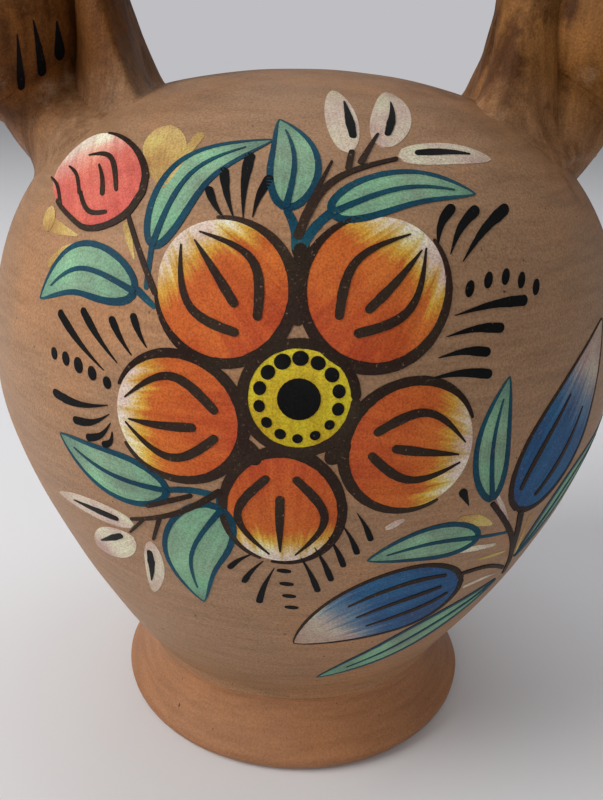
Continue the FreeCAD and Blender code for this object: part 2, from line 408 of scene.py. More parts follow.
def make_spout(side, name):
    """One spout: its hollow neck, bulb and mouth, and the clay pressed round its root."""
    clay = clay_material("shoulder_clay")
    origin, axis, out = spout_frame(side)

    def ring(distance, radius, rough=True):
        points = []
        for turn in turns(SPOUT_AROUND):
            away = out * math.cos(turn) + Vector((0, math.sin(turn), 0))
            point = origin + axis * distance + away * radius
            if rough:
                point += away * (noise.noise(point / 24) * 0.9 + noise.noise(point / 8) * 0.25)
            points.append(point)
        return points

    def tube(part, outer, inner):
        """Piece from outer distances up the spout and inner (distance, radius) pairs back down."""
        points = []
        for distance in outer:
            points += ring(distance, spout_outline(distance))
        for distance, radius in inner:
            points += ring(distance, radius, rough=False)
        faces = ring_faces(len(outer) + len(inner), SPOUT_AROUND, closed_loop=True)
        build_mesh(f"{name}_spout_{part}_clay", points, faces, clay,
                   [f"{name}_spout_{part}"])

    hollow = BULB_RADIUS - BULB_WALL
    low = BULB_AT - math.sqrt(hollow ** 2 - NECK_BORE ** 2)
    high = BULB_AT + math.sqrt(hollow ** 2 - MOUTH_BORE ** 2)
    cavity = [(d, math.sqrt(hollow ** 2 - (d - BULB_AT) ** 2)) for d in np.linspace(high, low, 16)]
    funnel = [(MOUTH_END - depth, radius) for depth, radius in MOUTH_FUNNEL]
    tube("neck", np.linspace(NECK_BURIED, NECK_END, 22),
         [(NECK_END, NECK_BORE), (NECK_BURIED, NECK_BORE)])
    tube("bulb", np.linspace(NECK_END, MOUTH_START, 64),
         [(MOUTH_START, MOUTH_BORE)] + cavity + [(NECK_END, NECK_BORE)])
    tube("mouth", np.linspace(MOUTH_START, MOUTH_END - LIP_ROUND, 30),
         funnel + [(MOUTH_START, MOUTH_BORE)])
    ring_at, outwards = SPOUT_ROOTS[side]
    skirt(f"{name}_spout_root_clay", ring(ring_at, spout_outline(ring_at) + 0.15), -axis, side,
          SPOUT_RADIUS_ON_DOME[side], (outwards, *SPOUT_ROOT_REACH), SPOUT_ROOT_PULLS,
          [f"{name}_spout_root"])


# ---- paint ----
# Paint lies on the clay in thin closed shapes. Places on the front are (right, up) in millimetres
# along the clay from the middle of the flower.

FLOWER_ARC = 143.5          # arc length from the waist to the middle of the flower
BURIED = -0.35              # underside of the paint, below the clay
FILL_LIFT = 0.10
GAP_LIFT = 0.12
STEM_LIFT = 0.15
EDGE_LIFT = 0.20
RING_LIFT = 0.25
VEIN_LIFT = 0.30


def on_front(right, up, lift):
    radius, _ = profile_at(FLOWER_ARC + up)
    return on_jar(right / radius, FLOWER_ARC + up, lift)


def smooth_line(points, step=0.9):
    """Points along the smoothest curve through the given ones, a natural cubic spline."""
    p = np.array(points, float)
    gap = np.linalg.norm(np.diff(p, axis=0), axis=1)
    count = len(p)
    matrix, target = np.eye(count), np.zeros((count, 2))
    for k in range(1, count - 1):
        matrix[k, k - 1:k + 2] = gap[k - 1], 2 * (gap[k - 1] + gap[k]), gap[k]
        target[k] = 6 * ((p[k + 1] - p[k]) / gap[k] - (p[k] - p[k - 1]) / gap[k - 1])
    bend = np.linalg.solve(matrix, target)
    line = []
    for k in range(count - 1):
        for t in np.arange(max(2, int(gap[k] / step))) / max(2, int(gap[k] / step)):
            s = 1 - t
            line.append(s * p[k] + t * p[k + 1]
                        + gap[k] ** 2 / 6 * ((s ** 3 - s) * bend[k] + (t ** 3 - t) * bend[k + 1]))
    line.append(p[-1])
    return np.array(line)


def run_along(line):
    """Length so far at each point of a line."""
    return np.concatenate([[0], np.cumsum(np.linalg.norm(np.diff(line, axis=0), axis=1))])


def sideways(line):
    """Unit vectors to the left of a line at each of its points."""
    way = np.gradient(line, axis=0)
    way /= np.linalg.norm(way, axis=1)[:, None] + 1e-9
    return np.stack([-way[:, 1], way[:, 0]], axis=1)


def toward(degrees, distance=1.0):
    """Step in a direction, counted from the right anticlockwise."""
    way = math.radians(degrees)
    return distance * np.array([math.cos(way), math.sin(way)])


def bow_line(start, end, bend, step=0.9):
    """Smooth line from a start to an end, which bows to its left by some mm."""
    start, end = np.array(start, float), np.array(end, float)
    way = end - start
    left = np.array([-way[1], way[0]]) / np.linalg.norm(way)
    return smooth_line([start, (start + end) / 2 + left * bend, end], step)


class Coat:
    """One piece of paint, made of lattices that follow the clay."""

    def __init__(self, name, paint, place=on_front):
        self.name, self.material, self.place = name, paint_material(paint), place
        self.slot = PAINTS[paint][0]
        self.points, self.faces, self.uvs = [], [], []

    def sheet(self, flat, uv, lift):
        rows, cols = flat.shape[:2]
        first = len(self.points)
        for depth in (lift, BURIED):
            for i in range(rows):
                for j in range(cols):
                    self.points.append(self.place(flat[i, j, 0], flat[i, j, 1], depth))
                    self.uvs.append((float(uv[i, j, 0]), float(uv[i, j, 1])))
        under = rows * cols
        for i in range(rows - 1):
            for j in range(cols - 1):
                a = first + i * cols + j
                quad = (a, a + 1, a + 1 + cols, a + cols)
                self.faces.append(quad)
                self.faces.append(tuple(under + k for k in reversed(quad)))
        edge = ([(0, j) for j in range(cols - 1)] + [(i, cols - 1) for i in range(rows - 1)]
                + [(rows - 1, j) for j in range(cols - 1, 0, -1)]
                + [(i, 0) for i in range(rows - 1, 0, -1)])
        edge = [first + i * cols + j for i, j in edge]
        for a, b in zip(edge, edge[1:] + edge[:1]):
            self.faces.append((b, a, a + under, b + under))

    def stroke(self, line, widths, lift=EDGE_LIFT):
        """Brush stroke along a line, its widths spread evenly from start to end."""
        run = run_along(line)
        length = run[-1]
        starts, ends = widths[0] / 2, widths[-1] / 2
        bends = np.array([0, 0.04, 0.15, 0.35, 0.65])
        stops = np.unique(np.concatenate([bends * starts, length - bends * ends,
                                          np.arange(starts, length - ends, 0.9)]))
        line = np.stack([np.interp(stops, run, line[:, k]) for k in (0, 1)], axis=1)
        half = np.interp(stops / length, np.linspace(0, 1, len(widths)), widths) / 2
        half = half * (1 + 0.10 * np.array([noise.noise(Vector((*p, lift)) / 1.7) for p in line]))
        for gap, cap in ((stops, starts), (length - stops, ends)):
            inside = np.clip(gap / max(cap, 0.05), 0, 1)
            half = half * np.sqrt(np.maximum(1 - (1 - inside) ** 2, 0.01))
        across = np.array([1, 0.5, 0, -0.5, -1])
        flat = line[:, None, :] + sideways(line)[:, None, :] * (half[:, None] * across)[..., None]
        uv = np.empty_like(flat)
        uv[..., 0] = (across + 1) / 2
        uv[..., 1] = (stops / length)[:, None]
        self.sheet(flat, uv, lift)

    def bow(self, start, end, bend, widths, lift=EDGE_LIFT):
        self.stroke(bow_line(start, end, bend), widths, lift)

    def comma(self, head, tail, width, bend=0.0):
        """Stroke with a round heavy head and a pointed tail."""
        self.bow(head, tail, bend, (width, width * 1.02, width * 0.72, width * 0.4, 0.2))

    def dab(self, middle, half_width, half_height, lean=0.0, lift=EDGE_LIFT, tip=None):
        """Round patch. Its second texture coordinate grows from the side away from the tip's
        direction (degrees) to the tip, and follows the rim there."""
        side = np.linspace(-1, 1, 19 if max(half_width, half_height) > 6 else 7)
        v, u = np.meshgrid(side, side, indexing="ij")
        x, y = u * np.sqrt(1 - v * v / 2), v * np.sqrt(1 - u * u / 2)
        turn = math.radians(lean)
        flat = np.empty(x.shape + (2,))
        flat[..., 0] = middle[0] + x * half_width * math.cos(turn) - y * half_height * math.sin(turn)
        flat[..., 1] = middle[1] + x * half_width * math.sin(turn) + y * half_height * math.cos(turn)
        uv = np.empty_like(flat)
        uv[..., 0], uv[..., 1] = (x + 1) / 2, (y + 1) / 2
        if tip is not None:
            way = math.radians(tip)
            along = x * math.cos(way) + y * math.sin(way)
            cross = x * math.sin(way) - y * math.cos(way)
            uv[..., 0] = 0.5 + cross / (2.6 - along)
            uv[..., 1] = 0.5 + 0.5 * (0.70 * along + 0.30 * np.hypot(x, y))
        self.sheet(flat, uv, lift)

    def blade(self, stalk, tip, bow, left, right, peak, blunt=0.8, fade=None):
        """Leaf or bud along a bow from its stalk to its tip, with half widths to both sides.
        Its colours change along it, or in a direction in degrees.
        Returns the middle and the two edges as lines from the stalk to the tip."""
        line = bow_line(stalk, tip, bow, 1.2)
        run = run_along(line) / run_along(line)[-1]
        swell = np.sin(np.pi * run ** (math.log(0.5) / math.log(peak))) ** blunt
        swell[0] = swell[-1] = 0
        normal = sideways(line)
        across = np.linspace(1, -1, 13)
        half = np.where(across > 0, left, right)[None, :] * swell[:, None]
        flat = line[:, None, :] + normal[:, None, :] * (half * across)[..., None]
        uv = np.empty_like(flat)
        uv[..., 0] = (across + 1) / 2
        uv[..., 1] = run[:, None]
        if fade is not None:
            for entry, along in ((0, toward(fade - 90)), (1, toward(fade))):
                far = flat @ along
                uv[..., entry] = (far - far.min()) / (far.max() - far.min())
        self.sheet(flat, uv, FILL_LIFT)
        return line, flat[:, 0], flat[:, -1]

    def finish(self):
        build_mesh(self.name, self.points, self.faces, self.material, uvs=self.uvs)


def arc_points(middle, half_width, half_height, start, end):
    """Points along part of an ellipse between two angles in degrees."""
    turn = np.radians(np.linspace(start, end, max(8, int(abs(end - start) / 4))))
    return np.stack([middle[0] + half_width * np.cos(turn),
                     middle[1] + half_height * np.sin(turn)], axis=1)


def stretch_of(line, start, end):
    """The part of a line between two shares of its length."""
    run = run_along(line) / run_along(line)[-1]
    stops = np.linspace(start, end, 40)
    return np.stack([np.interp(stops, run, line[:, k]) for k in (0, 1)], axis=1)


# Each petal: its direction from the flower's heart, half width and half height, the way its pale
# tip points, the angles where its dark rim starts and ends (all angles in degrees), and how far
# its three veins bow sideways (as shares of the half width).
PETALS = {
    "upper_left": (128, 17.0, 17.2, 128, (188, 458), (-0.55, 0.05, 0.60)),
    "upper_right": (56, 17.5, 18.2, 49, (102, 400), (-0.48, 0.13, 0.52)),
    "left": (195, 17.0, 16.0, 180, (158, -148), (-0.66, -0.14, 0.68)),
    "right": (-25, 17.0, 17.2, -10, (22, 300), (-0.58, 0.02, 0.48)),
    "lower": (264, 14.8, 17.4, -88, (-100, 250), (-0.74, 0.04, 0.78)),
}
PETAL_DISTANCE = 32.0
RIM_WIDTHS = (0.8, 2.3, 2.6, 3.2, 2.9, 2.2, 0.8)
VEIN_WIDTHS = (0.4, 1.4, 2.1, 2.5, 2.2)
HEART = (-1.0, -0.6)
HEART_RADIUS = 12.8
SPOTS = 14


def petal_vein(bow):
    """Vein from near the petal's tip to its heart, as (across, along) shares of its size."""
    if abs(bow) < 0.3:
        return [(bow, 0.80), (bow, 0.25), (0.6 * bow, -0.32)]
    return [(0.30 * bow, 0.86), (bow, 0.06), (0.28 * bow, -0.64)]


def paint_flower():
    rims = Coat("flower_outlines", "dark_line_paint")
    for name, (direction, wide, tall, tip, sweep, bows) in PETALS.items():
        middle = HEART + toward(direction, PETAL_DISTANCE)
        fill = Coat(f"petal_{name}", "petal_paint")
        fill.dab(middle, wide, tall, lift=FILL_LIFT, tip=tip)
        fill.finish()
        rims.stroke(arc_points(middle, wide + 0.7, tall + 0.7, *sweep), RIM_WIDTHS)
        for bow in bows:
            line = [middle + (toward(tip - 90, across) + toward(tip, along)) * (wide, tall)
                    for across, along in petal_vein(bow)]
            rims.stroke(smooth_line(line), VEIN_WIDTHS, VEIN_LIFT)
    rims.bow((-2, 37), (-2, 17), 0, (3.0, 3.6, 3.2))
    rims.stroke(arc_points(HEART, HEART_RADIUS + 1, HEART_RADIUS + 0.8, 0, 362),
                (2.6, 2.3, 2.7, 2.9, 2.4, 2.8, 2.6), RING_LIFT)
    for middle, wide, tall, lean in (((9, -14), 4.0, 2.6, 50), ((-13, -15), 4.2, 2.6, -50),
                                     ((-2, 36), 2.2, 3.2, 0)):
        rims.dab(middle, wide, tall, lean, lift=GAP_LIFT)
    rims.finish()

    disc = Coat("flower_heart", "yellow_paint")
    disc.dab(HEART, HEART_RADIUS, HEART_RADIUS - 0.2, lift=STEM_LIFT)
    disc.finish()
    spots = Coat("flower_heart_spots", "black_paint")
    spots.dab(HEART, 5.3, 5.2, lift=VEIN_LIFT)
    for k in range(SPOTS):
        turn = 2 * math.pi * (k + 0.5) / SPOTS
        size = 1.5 + 0.3 * noise.noise(Vector((k * 1.7, 2.0, 0.5)))
        upper = 1.0 + 0.18 * math.sin(turn)
        spots.dab((HEART[0] + 9.8 * math.cos(turn), HEART[1] + 10.0 * math.sin(turn)),
                  size * upper, size * upper * 1.1, math.degrees(turn), VEIN_LIFT)
    spots.finish()


# Leaves: where the stalk and the tip lie, how far the leaf bows to its left, its half width, and
# the share of its length where it is widest.
LEAVES = {
    "long_upper_left": ((-40, 33), (-10, 68), 7, 5.4, 0.36),
    "top": ((-6, 46), (-9, 77), -3, 6.0, 0.38),
    "upper_right": ((5, 45), (44, 50), 5, 5.5, 0.34),
    "left": ((-44, 21), (-80, 13), -7, 6.6, 0.36),
    "lower_left": ((-35, -30), (-71, -22), 3, 7.4, 0.38),
    "lower": ((-20, -33), (-27, -75), -6, 8.8, 0.34),
    "right": ((55, -34), (55, 2), 3, 5.3, 0.42),
    "lower_right": ((53, -48), (19, -50), -3, 6.5, 0.38),
    "bottom": ((70, -79), (8, -122), -2, 7.0, 0.45),
    "far_right": ((75, -68), (124, -28), 8, 5.0, 0.45),
}
# Stalks and stems: start, end, bow to the left, widths at the start and the end.
LEAF_STALKS = (
    ((-40, 34), (-41, 22), 0, (1.6, 1.4)), ((-44, 22), (-38, 18), 0, (2.2, 1.5)),
    ((-6, 46), (-3, 35), 1, (2.0, 2.6)), ((6, 46), (-2, 35), -1, (2.4, 2.4)),
    ((-36, -30), (-21, -29), 1, (1.8, 2.0)), ((-20, -27), (-20, -34), 0, (3.0, 3.0)),
    ((53, -48), (65, -50), 0, (1.4, 1.0)))
STEMS = (
    ((-49, 41), (-38, 21), 0, (1.4, 1.7)),          # red bud
    ((68, -42), (71, -63), 0, (2.6, 2.0)), ((50, -64), (71, -72), 3, (1.8, 1.6)),    # blue buds
    ((55, -35), (74, -78), 4, (1.8, 2.3)),          # the stem at the right
    ((22, 62), (-3, 38), -6, (1.3, 2.4)), ((5, 61), (-2, 42), 0, (0.6, 2.0)),
    ((10, 65), (9, 58), 0, (1.5, 1.9)), ((17, 72), (12, 60), 0, (0.8, 2.0)),
    ((-28, -30), (-42, -37), 0, (1.4, 1.6)), ((-20, -27), (-48, -44), 2, (2.0, 1.1)),
    ((-38, -40), (-41, -50), 0, (1.4, 0.9)), ((-43, -42), (-49, -50), 0, (1.2, 0.8)))


def paint_leaves():
    lines = Coat("leaf_outlines", "teal_line_paint")
    for name, (stalk, tip, bow, half, peak) in LEAVES.items():
        fill = Coat(f"leaf_{name}", "leaf_paint")
        middle, one_edge, other_edge = fill.blade(stalk, tip, bow, half, half, peak)
        fill.finish()
        for edge in (one_edge, other_edge):
            lines.stroke(edge, (2.0, 1.9, 1.7, 1.4, 1.1, 0.4))
        lines.stroke(stretch_of(middle, 0, 0.84), (1.8, 1.5, 1.3, 1.0, 0.4), VEIN_LIFT)
    for start, end, bow, widths in LEAF_STALKS:
        lines.bow(start, end, bow, widths, STEM_LIFT)
    lines.finish()


# White buds: stalk, tip, bow, half width, widest share, and how far the dark seed lies to the left.
WHITE_BUDS = {
    "top_left": ((9, 64), (5, 98), 0, 4.3, 0.40, -2.0),
    "top_middle": ((18, 66), (21, 98), -2, 6.0, 0.42, 0.0),
    "top_right": ((22, 63), (52, 61), 2, 4.2, 0.36, 0.5),
    "lower_left": ((-47, -46), (-80, -48), -1, 4.0, 0.38, 0.0),
    "lower_middle": ((-48, -52), (-67, -67), 0, 6.6, 0.48, -2.0),
    "lower_right": ((-42, -51), (-45, -79), 1, 3.4, 0.42, -1.0),
}
# Outlines inside the red bud: start, end, bow to the left, widths.
TULIP_STROKES = (
    ((-90, 45), (-77, 38), 2, (0.5, 1.3, 1.6)),
    ((-80, 50), (-69, 43), 2, (0.6, 1.4, 1.5)), ((-69, 44), (-56, 40), -3, (1.5, 1.5, 1.0)),
    ((-64, 53), (-59, 44), 1, (0.7, 1.6, 1.9)), ((-71, 55), (-54, 46), 6, (0.4, 1.5, 2.0, 1.3)))


def paint_buds():
    dark = Coat("bud_outlines", "dark_line_paint")

    red = Coat("red_bud", "red_bud_paint")
    _, lower, upper = red.blade((-45, 47), (-88, 45), -5, 16.5, 13.0, 0.42, 0.60, fade=118)
    red.finish()
    outline = np.vstack([stretch_of(upper, 0.50, 0), stretch_of(lower, 0.02, 0.82)])
    dark.stroke(outline, (0.6, 1.8, 2.4, 2.2, 1.7, 1.6, 1.4), VEIN_LIFT)
    for start, end, bow, widths in TULIP_STROKES:
        dark.bow(start, end, bow, widths, VEIN_LIFT)

    for name, stalk, tip, bow, half, shares in (
            ("blue_bud_right", (66, -41), (101, 9), 0, 14.5, (0.50, -0.35)),
            ("blue_bud_lower", (51, -67), (0, -93), -5, 16.5, (0.42, -0.06, -0.55))):
        bud = Coat(name, "blue_bud_paint")
        middle, left, right = bud.blade(stalk, tip, bow, half, half, 0.36, 0.78)
        bud.finish()
        for edge in (left, right):
            dark.stroke(edge, (2.2, 1.8, 1.4, 1.2, 1.0, 0.9, 0.4))
        for share in shares:
            edge = left if share > 0 else right
            vein = middle + (edge - middle) * abs(share)
            dark.stroke(stretch_of(vein, 0.12, 0.60), (1.4, 1.9, 1.5, 0.5), VEIN_LIFT)
    for start, end, bow, widths in STEMS:
        dark.bow(start, end, bow, widths, VEIN_LIFT)
    dark.finish()

    seeds = Coat("white_bud_seeds", "black_paint")
    for name, (stalk, tip, bow, half, peak, aside) in WHITE_BUDS.items():
        bud = Coat(f"white_bud_{name}", "white_paint")
        middle, left, right = bud.blade(stalk, tip, bow, half, half, peak, 0.6)
        bud.finish()
        seed = stretch_of(middle, 0.16, 0.74)
        seeds.stroke(seed + sideways(seed) * aside, (1.8, 2.5, 1.6, 0.4), VEIN_LIFT)
    seeds.finish()


# Rows of commas: where the pointed ends of the first and the last lie, the first and last
# directions in degrees, the lengths, the width of the heads and the bow to the left.
COMMA_ROWS = (
    ((-21, 42), (-14, 43), (120, 72), (10, 15, 20, 13), 2.7, 0.6),      # over the upper left petal
    ((32, 36), (39, 32), (66, 41), (12, 15, 21), 3.4, 1.5),              # over the upper right petal
    ((37, 19), (31, 4), (4, -2), (23, 17, 15, 18), 2.7, 1.0),            # to the right
    ((-53, 0), (-40, 8), (146, 120), (21, 17, 11, 9), 2.4, 0.4),         # to the left, upwards
    ((-52, -9), (-51, -16), (184, 232), (21, 14, 11, 6), 2.5, 1.4),      # to the left, downwards
    ((-12, -48), (-6, -53), (228, 256), (10, 12, 18), 1.9, -0.6),        # under the lowest petal
    ((1, -48), (15, -32), (-71, -66), (16, 15, 13, 12, 11), 1.8, 0.4),
    ((47, -34), (47, -34), (118, 118), (7,), 2.5, 0.0))
# Pale dabs: start, end, bow to the left, widths.
YELLOW_DABS = (
    ((-30, 69), (-38, 50), 0, (3.0, 2.4, 0.6)), ((-83, 33), (-66, 32), 0, (4.8, 3.2, 0.6)),
    ((-78, 22), (-65, 30), 1, (2.2, 2.2, 0.6)), ((-49, 38), (-45, 29), 0, (2.8, 2.0, 0.5)),
    ((44, -39), (57, -44), 1, (3.6, 4.6, 1.2)), ((55, -59), (67, -60), 0, (1.2, 1.5, 0.8)),
    ((74, -46), (75, -69), -1, (1.8, 1.7, 0.6)))
CREAM_DABS = (
    ((47, -52), (61, -54), 0, (2.0, 2.3, 1.2)), ((53, -73), (67, -73), 1, (1.4, 1.8, 0.6)),
    ((56, -32), (63, -44), 0, (1.0, 1.7, 0.8)), ((23, -38), (28, -35), 0, (1.6, 2.1, 0.9)))


def paint_accents():
    """Free strokes around the flower: black commas and dots, and pale dabs of yellow and cream."""
    black = Coat("black_commas", "black_paint")
    for first, last, ways, lengths, width, bow in COMMA_ROWS:
        for k, length in enumerate(lengths):
            share = k / max(len(lengths) - 1, 1)
            tail = first + np.subtract(last, first) * share
            head = tail + toward(ways[0] + (ways[1] - ways[0]) * share, length)
            black.comma(head, tail, width * (0.7 + 0.3 * length / max(lengths)), -bow)
    for k in range(4):
        black.dab((-3.4 + 0.8 * k, -54 - 5.8 * k), 2.0, 0.8, -3)
    for k in range(5):
        black.dab((41 + 5.6 * k, 25.2 + 2.6 * math.sin(0.85 * k) - 0.25 * k), 1.25, 2.1, -12)
        shrink = 1 - 0.11 * abs(k - 2)
        black.dab((-72 + 5 * k, 0.2 - 0.2 * k * k), 1.6 * shrink, 2.1 * shrink, 12)
    black.finish()

    yellow = Coat("yellow_dabs", "soft_yellow_paint")
    yellow.blade((-39, 48), (-41, 71), 0, 8.0, 6.5, 0.62, 0.6)
    yellow.dab((-82, 34), 3.4, 3.6)
    cream = Coat("cream_dabs", "white_paint")
    for coat, dabs in ((yellow, YELLOW_DABS), (cream, CREAM_DABS)):
        for start, end, bow, widths in dabs:
            coat.bow(start, end, bow, widths, FILL_LIFT)
        coat.finish()

    origin, axis, _ = spout_frame(-1)
    middle = origin + axis * BULB_AT

    def on_bulb(right, up, lift):
        turn, rise = right / BULB_RADIUS, up / BULB_RADIUS
        away = Vector((math.sin(turn) * math.cos(rise), -math.cos(turn) * math.cos(rise),
                       math.sin(rise)))
        along = away.dot(axis)
        reach = BULB_RADIUS
        while reach * math.sqrt(1 - along * along) < spout_outline(BULB_AT + reach * along):
            reach += 0.1
        return middle + away * (reach + 0.35 + lift)

    dashes = Coat("left_spout_dashes", "black_paint", on_bulb)
    for top, bottom, width in (((16, -3), (18, -20), 2.6), ((21, 1), (25, -15), 3.0),
                               ((29, 1), (31, -10), 4.0)):
        dashes.comma(bottom, top, width, 0.4)
    dashes.finish()


# ---- materials ----

class Nodes:
    """Short way to build one material. What goes into a node is a number, a colour or a
    (node, output) pair, and what comes out of these functions is mostly such a pair."""

    def __init__(self, name):
        self.material = bpy.data.materials.new(name)
        self.material.use_nodes = True
        self.tree = self.material.node_tree
        self.tree.nodes.clear()
        self.shader = self.add("ShaderNodeBsdfPrincipled")
        self.feed(self.add("ShaderNodeOutputMaterial"), "Surface", (self.shader, "BSDF"))

    @functools.cached_property
    def place(self):
        return self.add("ShaderNodeTexCoord"), "Object"

    def add(self, kind, **values):
        node = self.tree.nodes.new(kind)
        for key, value in values.items():
            if hasattr(node, key):
                setattr(node, key, value)
            else:
                node.inputs[key].default_value = value
        return node

    def feed(self, node, entry, value):
        if isinstance(value, tuple) and isinstance(value[0], bpy.types.Node):
            self.tree.links.new(value[0].outputs[value[1]], node.inputs[entry])
        else:
            node.inputs[entry].default_value = (*value, 1) if isinstance(value, tuple) else value

    def noise(self, scale, detail, rough, stretch=None, source=None):
        """Noise node over the place on the piece, or over another source."""
        texture = self.add("ShaderNodeTexNoise", Scale=scale, Detail=detail, Roughness=rough)
        source = source or self.place
        if stretch:
            mapping = self.add("ShaderNodeMapping", Scale=stretch)
            self.feed(mapping, "Vector", source)
            source = (mapping, "Vector")
        self.feed(texture, "Vector", source)
        return texture

    def ramp(self, source, stops):
        """Colours between stops, each a place and a colour or a grey level."""
        ramp = self.add("ShaderNodeValToRGB")
        elements = ramp.color_ramp.elements
        elements.remove(elements[1])
        for k, (place, colour) in enumerate(stops):
            element = elements.new(place) if k else elements[0]
            element.position = place
            element.color = (*colour, 1) if isinstance(colour, tuple) else (colour,) * 3 + (1,)
        self.feed(ramp, "Fac", source)
        return ramp, "Color"

    def mix(self, factor, first, second, blend="MIX"):
        node = self.add("ShaderNodeMix", data_type="RGBA", blend_type=blend)
        for entry, value in ((0, factor), (6, first), (7, second)):
            self.feed(node, entry, value)
        return node, 2

    def tint(self, colour, source, stops, factor=1.0):
        """A colour multiplied by a ramp of a source."""
        return self.mix(factor, colour, self.ramp(source, stops), "MULTIPLY")

    def math(self, operation, *values):
        node = self.add("ShaderNodeMath", operation=operation)
        for entry, value in enumerate(values):
            self.feed(node, entry, value)
        return node, "Value"

    def finish(self, colour, roughness, shine, relief, strength, distance):
        bump = self.add("ShaderNodeBump", Strength=strength, Distance=distance)
        self.feed(bump, "Height", relief)
        for entry, value in (("Base Color", colour), ("Roughness", roughness),
                             ("Specular IOR Level", shine), ("Normal", (bump, "Normal"))):
            self.feed(self.shader, entry, value)
        return self.material


# Each clay: its two colours, how strong its specks are, how strong and how stretched the lines of
# the tool that smoothed it are, their share of the relief, the relief's strength, and the shine.
BODY_CLAY = {"base": (0.322, 0.182, 0.100), "warm": (0.42, 0.194, 0.082), "speck": 0.55}
FOOT_CLAY = {"base": (0.345, 0.160, 0.076), "warm": (0.42, 0.180, 0.075), "speck": 0.40}
SMOOTHED = {"lines": 0.4, "stretch": (0.2, 0.2, 1.8), "share": 0.3, "relief": 0.3, "shine": 0.2}
SCRAPED = {"lines": 0.9, "stretch": (1, 1, 0.10), "share": 0.55, "relief": 0.9, "shine": 0.1}
CLAYS = {"body_clay": BODY_CLAY | SMOOTHED, "shoulder_clay": BODY_CLAY | SCRAPED,
         "foot_clay": FOOT_CLAY | SMOOTHED}
FIRED = ((0.175, 0.072, 0.018), (0.310, 0.138, 0.042))
SMOKED = (0.035, 0.016, 0.009)
DUST = (0.36, 0.25, 0.165)
CLAY_RELIEF = 0.0009        # metres, as is PAINT_RELIEF


def darken_top(n, colour, cloudy):
    """The clay's colour made darker the higher and the further out a place lies, around the
    handle and the spouts, with soot at the left spout."""
    where = n.add("ShaderNodeSeparateXYZ")
    n.feed(where, "Vector", n.place)
    drift = n.noise(24.0, 5, 0.65), "Fac"
    outwards = n.math("MULTIPLY_ADD", n.math("ABSOLUTE", (where, "X")), 0.55, (where, "Z"))
    darker = n.ramp(n.math("MULTIPLY_ADD", drift, 0.040, outwards), [(0.256, 0), (0.290, 1)])
    left = n.math("MULTIPLY_ADD", (where, "X"), -1.0, drift)
    fired = n.tint(n.mix(cloudy, *FIRED), left,
                   [(0.49, 1), (0.55, (0.55, 0.45, 0.34)), (0.60, (0.90, 0.78, 0.66))])
    smoky = n.tint(darker, drift, [(0.52, 0), (0.70, 0.85)])
    return n.mix(smoky, n.mix(darker, colour, fired), SMOKED)


@functools.cache
def clay_material(kind):
    """Clay of the body, of the shoulders (handle and spouts) or of the foot."""
    clay = CLAYS[kind]
    n = Nodes(f"{kind}_surface")
    clouds = n.noise(11.0, 4, 0.6), "Fac"
    cloudy = n.ramp(clouds, [(0.50, 0), (0.74, 0.9)])
    colour = n.mix(cloudy, clay["base"], clay["warm"])
    if kind != "foot_clay":
        colour = darken_top(n, colour, cloudy)
    lines = n.noise(260.0, 3, 0.6, clay["stretch"])
    colour = n.tint(colour, (lines, "Fac"),
                    [(0.34, (0.72, 0.68, 0.64)), (0.5, 1), (0.66, (1.24, 1.24, 1.22))], clay["lines"])
    if kind == "shoulder_clay":
        scuffs = n.noise(31.0, 6, 0.72), "Fac"
        colour = n.mix(n.ramp(scuffs, [(0.58, 0), (0.74, 0.6)]), colour, DUST)
    speck = n.noise(1500.0, 3, 0.65)
    colour = n.tint(colour, (speck, "Fac"),
                    [(0.36, (0.62, 0.59, 0.56)), (0.5, 1), (0.64, (1.34, 1.34, 1.32))], clay["speck"])
    pits = n.noise(420.0, 2, 0.5), "Fac"
    colour = n.tint(colour, pits, [(0.225, (0.30, 0.26, 0.24)), (0.26, 1)])
    relief = n.mix(clay["share"], (speck, "Color"), (lines, "Color"))
    return n.finish(colour, n.ramp(clouds, [(0.35, 0.44), (0.7, 0.60)]), clay["shine"],
                    relief, clay["relief"], CLAY_RELIEF)


WORN_CLAY = (0.30, 0.17, 0.105)
PAINT_SHINE = 0.07
PAINT_RELIEF = 0.0003
